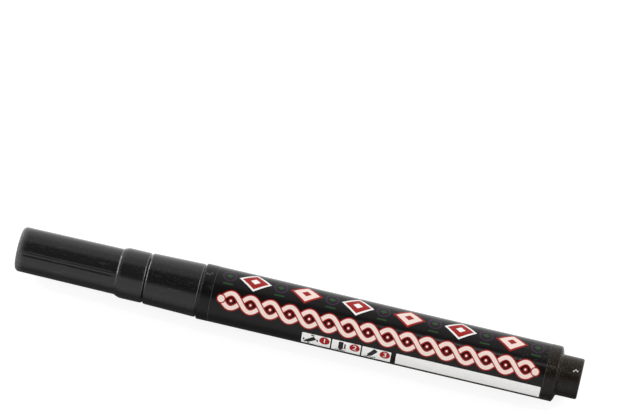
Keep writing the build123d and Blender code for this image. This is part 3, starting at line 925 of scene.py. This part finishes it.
# %% Felt, soft seal and valve plastic
FELT_TONES = (rgb(0.74, 0.71, 0.64), rgb(0.9, 0.88, 0.83))
SEAL_TONES = (rgb(0.7, 0.7, 0.67), rgb(0.8, 0.8, 0.77))
VALVE_TONES = (rgb(0.74, 0.74, 0.71), rgb(0.82, 0.82, 0.8))


def white_plastic(name, tones, rough):
    """Plain white plastic with a moulding grain."""
    return mottled(name, plastic(shine=0.4), tones, cloud={"size_mm": 2.5, "detail": 3.0}, cloud_share=0.7,
                   grain={"size_mm": 0.2}, grain_share=0.3, rough=rough, dent=0.006)


fibres = {"size_mm": 0.12, "detail": 4.0, "stretch": (0.2, 1, 1)}
felt = mottled("pressed_felt", {"Sheen Weight": 0.3, "Sheen Roughness": 0.5}, FELT_TONES,
               cloud={"size_mm": 1.2}, cloud_share=0.4, grain=fibres, grain_share=0.6, rough=0.85, dent=0.04)
wear(nib, felt)
wear(cap_seal, white_plastic("soft_seal_white", SEAL_TONES, rough=0.5))
valve_white = white_plastic("natural_white", VALVE_TONES, rough=0.38)
for node in ("valve_plunger", "valve_body", "spring_retainer"):
    wear(frame["nodes"][node], valve_white)

# %% [markdown]
# The spring is drawn stainless wire with fine lines from the drawing, and the mixing ball is polished
# steel that the ink has left slightly dull in places. Drawn out round the coil, the grain becomes lines
# along the wire, and left as it is, it is only a fine grain, so one function serves both.

# %% Wire and ball
STEEL_TONES = (rgb(0.5, 0.5, 0.51), rgb(0.68, 0.68, 0.69))


def steel(name, rough, line_stretch):
    """Steel with fine lines, drawn out by the stretch."""
    lines = {"size_mm": 0.15, "detail": 3.0, "stretch": line_stretch}
    return mottled(name, {"Metallic": 1.0}, STEEL_TONES, cloud={"size_mm": 1.5}, cloud_share=1.0,
                   grain=lines, grain_share=0.0, rough=rough, dent=0.003)


wear(valve_spring, steel("drawn_wire", rough=0.22, line_stretch=(3, 0.6, 0.6)))
wear(frame["nodes"]["mixing_ball"], steel("polished_ball", rough=0.08, line_stretch=(1, 1, 1)))

# %% [markdown]
# Printing the label
#
# Ink is a layer a few thousandths of a millimetre thick. Here each colour is a set of thin closed plates,
# so that the print keeps sharp edges at any size. The shapes are made flat, with the station as x and the
# distance round the barrel as y, cut into narrow strips, thickened, and then bent round the film by a
# formula.

# %% From flat shapes to ink on the film
FACING = math.radians(14.8)
STRIP = 0.3
INK = 0.004
CORNER_SEGMENTS = 4
DISC_SIDES = 28


def bent(station, around, height):
    """The place of a flat point on the film: around is measured from the line that faces the camera."""
    angle = FACING + around / film_radius
    radius = (film_radius + height) * MM
    return (x_at(station), -radius * math.sin(angle), radius * math.cos(angle))


def flat_shapes(*shapes):
    """Joins flat shapes into one sheet."""
    sheet = bmesh.new()
    for shape in shapes:
        mesh = mesh_from("flat_shape", shape)
        sheet.from_mesh(mesh)
        bpy.data.meshes.remove(mesh)
    return sheet


def printed(name, material, layer, shapes, lift=None):
    """Prints flat shapes on the film as thin plates of ink, in a layer counted from the film."""
    sheet = flat_shapes(*shapes)
    arounds = [vertex.co.y for vertex in sheet.verts]
    cut = math.floor(min(arounds) / STRIP) * STRIP + STRIP
    while cut < max(arounds):
        bmesh.ops.bisect_plane(sheet, geom=sheet.verts[:] + sheet.edges[:] + sheet.faces[:],
                               plane_co=(0, cut, 0), plane_no=(0, 1, 0))
        cut += STRIP
    top = bmesh.ops.extrude_face_region(sheet, geom=sheet.faces[:])["geom"]
    upper = [part for part in top if isinstance(part, bmesh.types.BMVert)]
    bmesh.ops.translate(sheet, verts=upper, vec=(0, 0, layer * INK + INK))
    for vertex in sheet.verts:
        station, around, height = vertex.co
        raised = lift(station) if lift and height > 0 else 0
        vertex.co = bent(station, around, height + raised)
    bmesh.ops.recalc_face_normals(sheet, faces=sheet.faces[:])
    wear(piece_from(name, sheet, "barrel", "label_film"), material)


def moved(shape, station, around, turn=0.0):
    """Turns a flat shape and sets it down at a place on the label."""
    rotate(shape, turn, "Z")
    bmesh.ops.translate(shape, verts=shape.verts[:], vec=(station, around, 0))
    return shape


def box_shape(width, height, corner=0.0):
    """A flat rectangle, with its corners rounded by the bevel operator."""
    shape = bmesh.new()
    bmesh.ops.create_grid(shape, x_segments=1, y_segments=1, size=0.5)
    bmesh.ops.scale(shape, verts=shape.verts[:], vec=(width, height, 1))
    if corner:
        bmesh.ops.bevel(shape, geom=shape.verts[:], offset=corner, offset_type="OFFSET",
                        segments=CORNER_SEGMENTS, profile=0.5, affect="VERTICES", material=-1)
    return shape


def round_shape(width, height, sides=DISC_SIDES):
    """A flat disc or ellipse, a triangle with three sides or a lozenge with four."""
    shape = bmesh.new()
    bmesh.ops.create_circle(shape, cap_ends=True, radius=0.5, segments=sides)
    bmesh.ops.scale(shape, verts=shape.verts[:], vec=(width, height, 1))
    return shape


# %% [markdown]
# Printing ink dries unevenly, so each colour has a slight mottle and a fine grain. Where it lies thin the
# film shows through, so the darker tone of each is worked out from the full one.

# %% Inks
THIN_INK = 0.86


def ink(name, colour):
    """An ink, which is darker where it lies thin."""
    tones = (rgb(*(channel * THIN_INK for channel in colour)), rgb(*colour))
    return mottled(name, {"Specular IOR Level": 0.2}, tones, cloud={"size_mm": 0.9, "detail": 3.0},
                   cloud_share=0.7, grain={"size_mm": 0.2}, grain_share=0.5, rough=0.3, dent=0.002)


white_ink = ink("ink_white", (0.95, 0.935, 0.915))
cream_ink = ink("ink_cream", (0.95, 0.77, 0.7))
red_ink = ink("ink_red", (0.355, 0.007, 0.005))
violet_ink = ink("ink_violet", (0.026, 0.011, 0.031))
green_ink = ink("ink_green", (0.013, 0.053, 0.015))
black_ink = ink("ink_black", (0.015, 0.014, 0.014))

# %% [markdown]
# Most lines on the label are ribbons: a grid of one row of faces, laid along a route. A bevelled curve could
# draw them too, but a ribbon is already the flat shape that the printing needs. Two routes serve the whole
# label: a wave, and an arc that can go right round.

# %% Ribbons
ROUTE_STEP = 1e-4
FLAT_MERGE = 1e-4


def ribbon(route, width, steps):
    """A flat ribbon along a route, which is a function from 0..1 to a station and a place around."""
    shape = bmesh.new()
    bmesh.ops.create_grid(shape, x_segments=steps, y_segments=1, size=0.5)
    for vertex in shape.verts:
        share = vertex.co.x + 0.5
        place = Vector(route(share))
        heading = (Vector(route(share + ROUTE_STEP)) - Vector(route(share - ROUTE_STEP))).normalized()
        across = vertex.co.y * width
        vertex.co = (place.x - heading.y * across, place.y + heading.x * across, 0)
    return shape


def wave_route(start, length, around, height, waves):
    """A route along a wave, with its middle line at a place around."""
    def route(share):
        return start + length * share, around + height * math.sin(FULL_TURN * waves * share)
    return route


def round_route(station, around, radius, middle=math.pi, spread=FULL_TURN):
    """A route on an arc about a place, whose middle lies in this direction, or right round the place."""
    def route(share):
        turn = middle + spread * (share - 0.5)
        return station + radius * math.cos(turn), around + radius * math.sin(turn)
    return route


# %% [markdown]
# The ornament is a plain traditional one: a band of two waves that cross, a guilloche, with a dot in each
# eye and a disc at each end. A strand rises and dips a little along its way, so that it passes over and
# under the other one in turn, as a real plait does, and no strand has to be cut.

# %% Guilloche band
BAND_FROM = 50.6
BAND_TO = 127.0
BAND_AROUND = 0.55
WAVES = 8
WAVE_HEIGHT = 1.8
STRAND = 1.0
STRAND_EDGE = 0.3
STEPS_PER_WAVE = 28
LIFT = 0.003
EYE_DOT = 1.15
EYE_HEART = 0.5
END_DOT = 1.7
END_EDGE_LAYER = 3
END_LAYER = 3.7

band_length = BAND_TO - BAND_FROM
wave_length = band_length / WAVES


def over_and_under(side):
    """The height of a strand, which passes over and under the other one in turn."""
    return lambda station: LIFT + LIFT * side * math.cos(FULL_TURN * (station - BAND_FROM) / wave_length)


for side, strand in ((1, "first"), (-1, "second")):
    strand_route = wave_route(BAND_FROM, band_length, BAND_AROUND, side * WAVE_HEIGHT, WAVES)
    edge_shape = ribbon(strand_route, STRAND + 2 * STRAND_EDGE, WAVES * STEPS_PER_WAVE)
    fill_shape = ribbon(strand_route, STRAND, WAVES * STEPS_PER_WAVE)
    printed(f"band_{strand}_edge", red_ink, 0, [edge_shape], over_and_under(side))
    printed(f"band_{strand}_fill", cream_ink, 1, [fill_shape], over_and_under(side))

eyes = [BAND_FROM + wave_length * (i + 0.5) / 2 for i in range(2 * WAVES)]
band_ends = [BAND_FROM, BAND_TO]


def band_discs(places, across):
    """A disc on the band's middle line at each place."""
    return [moved(round_shape(across, across), place, BAND_AROUND) for place in places]


printed("band_dots", red_ink, 0, band_discs(eyes, EYE_DOT))
printed("band_dot_hearts", white_ink, 1, band_discs(eyes, EYE_HEART))
printed("band_end_edges", red_ink, END_EDGE_LAYER, band_discs(band_ends, END_DOT + 2 * STRAND_EDGE))
printed("band_ends", cream_ink, END_LAYER, band_discs(band_ends, END_DOT))

# %% [markdown]
# Above the band, red lozenges edged in white take turns with cream ones edged in red. A violet ring with
# a small green lozenge in it, and a green bar above and below, fills each place between them. A ring is a
# ribbon on a round route, so the ribbon's own function makes it.

# %% Lozenges and rings
ROW_AROUND = -5.8
LOZENGES = 6
LOZENGE_FROM = 57.6
LOZENGE_PITCH = 12.5
LOZENGE_SIZE = (7.9, 5.9)
LOZENGE_SIDES = 4
FILL_SCALE = 0.8
HEART_SCALE = 0.3
RING_RADIUS = 1.5
RING_WIDTH = 0.5
RING_STEPS = 32
RING_LOZENGE = (1.9, 1.4)
BAR_SIZE = (2.4, 0.45)
BAR_OFFSET = 2.4

red_places = [LOZENGE_FROM + LOZENGE_PITCH * i for i in range(0, LOZENGES, 2)]
cream_places = [LOZENGE_FROM + LOZENGE_PITCH * i for i in range(1, LOZENGES, 2)]
ring_places = [LOZENGE_FROM + LOZENGE_PITCH * (i - 0.5) for i in range(LOZENGES + 1)]


def lozenges(places, scale, size=LOZENGE_SIZE):
    """A lozenge at each place."""
    width, height = (side * scale for side in size)
    return [moved(round_shape(width, height, LOZENGE_SIDES), place, ROW_AROUND) for place in places]


def ring(station):
    """A flat ring in the row."""
    shape = ribbon(round_route(station, ROW_AROUND, RING_RADIUS), RING_WIDTH, RING_STEPS)
    bmesh.ops.remove_doubles(shape, verts=shape.verts[:], dist=FLAT_MERGE)
    return shape


bars = []
for place in ring_places:
    for side in (-1, 1):
        bars.append(moved(box_shape(*BAR_SIZE), place, ROW_AROUND + side * BAR_OFFSET))
printed("lozenge_edges_white", white_ink, 0, lozenges(red_places, 1))
printed("lozenges_red", red_ink, 1, lozenges(red_places, FILL_SCALE))
printed("lozenge_hearts_white", white_ink, 2, lozenges(red_places, HEART_SCALE))
printed("lozenge_edges_red", red_ink, 0, lozenges(cream_places, 1))
printed("lozenges_cream", cream_ink, 1, lozenges(cream_places, FILL_SCALE))
printed("lozenge_hearts_red", red_ink, 2, lozenges(cream_places, HEART_SCALE))
printed("row_rings", violet_ink, 0, [ring(place) for place in ring_places])
printed("row_greens", green_ink, 0, lozenges(ring_places, 1, RING_LOZENGE) + bars)

# %% [markdown]
# Below the band are three white boxes that show how such a marker is started: shake it, press its nib
# down, and write. Beside them is a bare white panel. They are plain rectangles, and the bevel operator
# rounds their corners as it rounds the wires of the turned pieces.

# %% Boxes and panel
BOXES = 3
BOX_SIZE = (7.0, 3.9)
BOX_PITCH = 7.35
BOX_FROM = 74.65
BOX_AROUND = 6.1
PANEL_FROM = 94.05
PANEL_TO = 129.1
PANEL_TOP = 4.05
PANEL_HEIGHT = 4.0
CORNER = 0.2

boxes = [BOX_FROM + BOX_PITCH * i for i in range(BOXES)]
whites = [moved(box_shape(*BOX_SIZE, corner=CORNER), place, BOX_AROUND) for place in boxes]
panel = box_shape(PANEL_TO - PANEL_FROM, PANEL_HEIGHT, corner=CORNER)
whites.append(moved(panel, (PANEL_FROM + PANEL_TO) / 2, PANEL_TOP + PANEL_HEIGHT / 2))
printed("label_boxes", white_ink, 0, whites)

# %% [markdown]
# Each box has a red disc with a plain number. A number drawn from boxes and rings would look clumsy, so it
# is text in Blender's own font, made a mesh and printed as the other shapes are.

# %% Numbers on discs
DISC = 2.5
NUMBER_DISC_SIDES = 32
DISC_PLACE = (2.05, -0.6)
NUMBER_HEIGHT = 1.6
FONT_SIZE_PER_HEIGHT = 1.37


def number_shape(digit):
    """A plain number as a flat mesh, upright on the label."""
    text = bpy.data.curves.new("digit", "FONT")
    text.body = digit
    text.size = NUMBER_HEIGHT * FONT_SIZE_PER_HEIGHT
    text.align_x = "CENTER"
    text.align_y = "CENTER"
    holder = added("digit", text)
    bpy.context.view_layer.update()
    mesh = bpy.data.meshes.new_from_object(holder)
    shape = bmesh.new()
    shape.from_mesh(mesh)
    bpy.data.objects.remove(holder)
    bpy.data.curves.remove(text)
    bpy.data.meshes.remove(mesh)
    bmesh.ops.remove_doubles(shape, verts=shape.verts[:], dist=FLAT_MERGE)
    bmesh.ops.scale(shape, verts=shape.verts[:], vec=(1, -1, 1))
    return shape


def on_disc(shape, box):
    """Sets a shape on the disc of a box."""
    return moved(shape, box + DISC_PLACE[0], BOX_AROUND + DISC_PLACE[1])


discs = [on_disc(round_shape(DISC, DISC, NUMBER_DISC_SIDES), box) for box in boxes]
numbers = [on_disc(number_shape(str(count)), box) for count, box in enumerate(boxes, start=1)]
printed("label_discs", red_ink, 1, discs)
printed("label_numbers", white_ink, 2, numbers)

# %% [markdown]
# The drawings use one sign for the marker, a body and a nib, turned for each step. Short arcs beside it
# mean shaking, an arrow means pressing, and a wavy line is what the marker writes. All of it is one piece,
# because it is printed in one ink.

# %% Drawings in the boxes
SIGN_BODY = (2.7, 1.15)
SIGN_CORNER = 0.12
SIGN_NIB = (0.6, 0.5)
SIGN_GAP = 0.02
SIGN_PLACE = -1.3
LINE = 0.36
ARC_STEPS = 8
WAVE_STEPS = 32
SHAKE_TURN = math.radians(140)
SHAKE_RADIUS = 1.65
SHAKE_SPREAD = 0.5
SHAKE_ASIDE = 0.62
PRESS_UP = 0.35
GROUND = (2.6, 1.55)
ARROW = (1.0, -0.55)
ARROW_SHAFT = 1.3
ARROW_HEAD = (0.9, 0.3)
ARROW_HEAD_SIDES = 3
WRITE_TURN = math.radians(125)
WRITE_PLACE = (0.35, -0.45)
WRITTEN_FROM = -1.4
WRITTEN_LENGTH = 2.6
WRITTEN_DOWN = 1.4
WRITTEN_HEIGHT = 0.22
WRITTEN_WAVES = 2


def marker_sign(station, around, turn):
    """The sign of a marker, its nib pointing in the direction of turn."""
    reach = (SIGN_BODY[0] + SIGN_NIB[0]) / 2 + SIGN_GAP
    body_sign = box_shape(*SIGN_BODY, corner=SIGN_CORNER)
    nib_sign = box_shape(*SIGN_NIB)
    nib_place = (station + reach * math.cos(turn), around + reach * math.sin(turn))
    return [moved(body_sign, station, around, turn), moved(nib_sign, *nib_place, turn)]


shake, press, write = (box + SIGN_PLACE for box in boxes)
drawings = marker_sign(shake, BOX_AROUND, SHAKE_TURN)
for end in (0, math.pi):
    for side in (-1, 1):
        towards = SHAKE_TURN + end + side * SHAKE_ASIDE
        arc = round_route(shake, BOX_AROUND, SHAKE_RADIUS, towards, SHAKE_SPREAD)
        drawings.append(ribbon(arc, LINE, ARC_STEPS))
drawings += marker_sign(press, BOX_AROUND - PRESS_UP, math.pi / 2)
drawings.append(moved(box_shape(GROUND[0], LINE), press, BOX_AROUND + GROUND[1]))
drawings.append(moved(box_shape(LINE, ARROW_SHAFT), press + ARROW[0], BOX_AROUND + ARROW[1]))
arrow_head = round_shape(ARROW_HEAD[0], ARROW_HEAD[0], ARROW_HEAD_SIDES)
drawings.append(moved(arrow_head, press + ARROW[0], BOX_AROUND + ARROW_HEAD[1], math.pi))
drawings += marker_sign(write + WRITE_PLACE[0], BOX_AROUND + WRITE_PLACE[1], WRITE_TURN)
written = wave_route(write + WRITTEN_FROM, WRITTEN_LENGTH, BOX_AROUND + WRITTEN_DOWN,
                     WRITTEN_HEIGHT, WRITTEN_WAVES)
drawings.append(ribbon(written, LINE, WAVE_STEPS))
printed("label_drawings", black_ink, 1, drawings)

# %% [markdown]
# The camera stands where the photographer's did: well back with a long lens, high above the marker and a
# little to its front, so that the marker's own taper shows and perspective hardly does.

# %% Camera
SENSOR = 36.0
IMAGE_WIDTH = 640
PIXELS_PER_FOCAL = 4500
DISTANCE = 1.0728
AZIMUTH = math.radians(13.52)
ELEVATION = math.radians(74.8)
AIM_RIGHT_PX = 21.5
AIM_UP_PX = 108.5
CLIP_END = 30

right = Vector((math.cos(AZIMUTH), math.sin(AZIMUTH), 0))
level_back = Vector((math.sin(AZIMUTH), -math.cos(AZIMUTH), 0))
back = level_back * math.cos(ELEVATION) + Vector((0, 0, math.sin(ELEVATION)))
up = back.cross(right)
pixel = DISTANCE / PIXELS_PER_FOCAL
middle = Vector((x_at(tail_end / 2), 0, 0))
aim = middle + right * AIM_RIGHT_PX * pixel + up * AIM_UP_PX * pixel
lens = bpy.data.cameras.new("camera")
lens.sensor_width = SENSOR
lens.lens = PIXELS_PER_FOCAL / IMAGE_WIDTH * SENSOR
lens.clip_end = CLIP_END
camera = added("camera", lens)
facing = Matrix((right, up, back)).transposed().to_4x4()
camera.matrix_world = Matrix.Translation(aim + back * DISTANCE) @ facing
bpy.context.scene.camera = camera
print(f"lens {lens.lens:.0f} mm, camera at {tuple(round(c, 3) for c in camera.location)}")

# %% [markdown]
# The studio is a plain white floor under a soft sky of white cloth, with a dark gap overhead where the
# camera hangs. The gap is what draws the dark band along the cap. The floor adds a little light of its own
# for the camera and for reflections, so that it reads as white paper and still keeps the marker's soft
# shadow. The light comes from behind, and the paper just in front of the marker carries a painted shade that
# only reflections see: there it glows less and its colour is darker, so the marker mirrors it dimmer than
# the paper behind.

# %% White floor
FLOOR_SIZE = 12.0
PAPER_GLOW = 0.75
FRONT_MIRROR = 0.6
SHADE_REACH = (0.008, 0.06)
BEHIND = (-0.002, 0.006)
PAPER_TONES = (rgb(0.43, 0.43, 0.43), rgb(0.46, 0.46, 0.46))
PAINTED_SHADE_PAPER = rgb(0.2, 0.2, 0.2)
BLACK = rgb(0, 0, 0)
WHITE = rgb(1, 1, 1)

floor_shape = bmesh.new()
bmesh.ops.create_grid(floor_shape, x_segments=1, y_segments=1, size=FLOOR_SIZE / 2)
bmesh.ops.translate(floor_shape, verts=floor_shape.verts[:], vec=(0, 0, -barrel_radius * MM))
floor = added("floor", mesh_from("floor", floor_shape))

paper = Finish("white_paper", {"Roughness": 1.0, "Specular IOR Level": 0.0, "Emission Strength": 1.0})
camera_ray, glossy_ray, clear_ray, ray_length = (
    paper.node("ShaderNodeLightPath", {}, {}, output=ray)
    for ray in ("Is Camera Ray", "Is Glossy Ray", "Is Transmission Ray", "Ray Length"))
# Painted shade: in front of the marker the paper glows less for reflections, and near it reflections see a
# darker paper colour.
behind = paper.rise(paper.part(BACKWARDS), *BEHIND)
far = paper.rise(ray_length, *SHADE_REACH)
mirror = behind + (1 - behind) * far * FRONT_MIRROR
glow = camera_ray * PAPER_GLOW + (glossy_ray + clear_ray) * mirror
painted_shade = glossy_ray * (1 - behind) * (1 - far)
sheet = paper.blend(*PAPER_TONES, paper.noise(size_mm=3.0, detail=3.0))
paper.show({"Base Color": paper.blend(sheet, PAINTED_SHADE_PAPER, painted_shade),
            "Emission Color": paper.blend(BLACK, WHITE, glow)})
wear(floor, paper.material)

# %% [markdown]
# The sky is written as a formula of direction. Its angle is measured across the marker, from straight up,
# so that the front cloth, the back cloth and the dark gap all run along the marker, as strip lights do.
# The back cloth is brightest low down.

# %% Sky of white cloth
GAP_LIGHT = 0.1
FRONT_LIGHT = 1.35
BACK_LIGHT = 1.05
LOW_BACK_LIGHT = 1.5
FRONT_EDGE = (math.radians(26), math.radians(42))
BACK_EDGE = (math.radians(22), math.radians(42))
LOW_BACK_EDGE = (math.radians(55), math.radians(80))

world = bpy.data.worlds.new("studio")
world.use_nodes = True
bpy.context.scene.world = world
sky = Tree(world.node_tree)
direction = sky.node("ShaderNodeTexCoord", {}, {}, output="Generated")
upwards = sky.part(UPWARDS, direction)
lean = upwards.maths("ARCTAN2", sky.part(BACKWARDS, direction), upwards)
front_cloth = sky.rise(0 - lean, *FRONT_EDGE)
back_cloth = sky.rise(lean, *BACK_EDGE)
low_back = sky.rise(lean, *LOW_BACK_EDGE)
light = GAP_LIGHT + front_cloth * (FRONT_LIGHT - GAP_LIGHT) + back_cloth * (BACK_LIGHT - GAP_LIGHT)
light = light + low_back * (LOW_BACK_LIGHT - BACK_LIGHT)
sky.feed(sky.nodes["Background"].inputs["Strength"], light)
sky.feed(sky.nodes["Background"].inputs["Color"], WHITE)
print(f"sky: gap {GAP_LIGHT}, front {FRONT_LIGHT}, back {BACK_LIGHT}")

# %% [markdown]
# Four lamps add the accents. Long boxes beyond the marker's ends pick out the cap's cone and the small
# bevels that face them, a slanted strip behind the cap carries the cone's light line on to the back, and a
# thin tube high over the barrel draws the fine light line along it. The boxes stand where the cone and the
# bevels mirror them, and high enough not to glare along the barrel.

# %% Lamps
WATTS_PER_RADIANCE = 4.0
CAP_MIDDLE = (-0.06, 0, 0)


def lamp(name, place, target, size, radiance, roll=0.0):
    """An area lamp that faces a target, rolled about its aim, as bright as this radiance."""
    width, height = size
    light = bpy.data.lights.new(name, "AREA")
    light.shape = "RECTANGLE"
    light.size = width
    light.size_y = height
    light.energy = WATTS_PER_RADIANCE * radiance * width * height
    aimed = (Vector(target) - Vector(place)).to_track_quat("-Z", "Y").to_matrix().to_4x4()
    added(name, light).matrix_world = Matrix.Translation(place) @ aimed @ Matrix.Rotation(roll, 4, "Z")
    print(f"{name}: {light.energy:.2f} W")


lamp("left_box", place=(-0.6, 0.005, 0.32), target=CAP_MIDDLE, size=(0.39, 0.08), radiance=8.0)
lamp("back_left_strip", place=(-0.567, 0.393, 0.181), target=CAP_MIDDLE, size=(0.45, 0.055), radiance=9.0,
     roll=math.radians(48.6))
lamp("right_box", place=(0.5, 0.2, 0.48), target=(-0.03, 0, 0), size=(0.6, 0.08), radiance=6.0)
lamp("tube", place=(0.05, 0.106, 0.59), target=(0.05, 0, 0), size=(0.15, 0.012), radiance=34.0)

# %% [markdown]
# The last cell keeps colours as they are written.

# %% Finish
bpy.context.scene.view_settings.view_transform = "Standard"
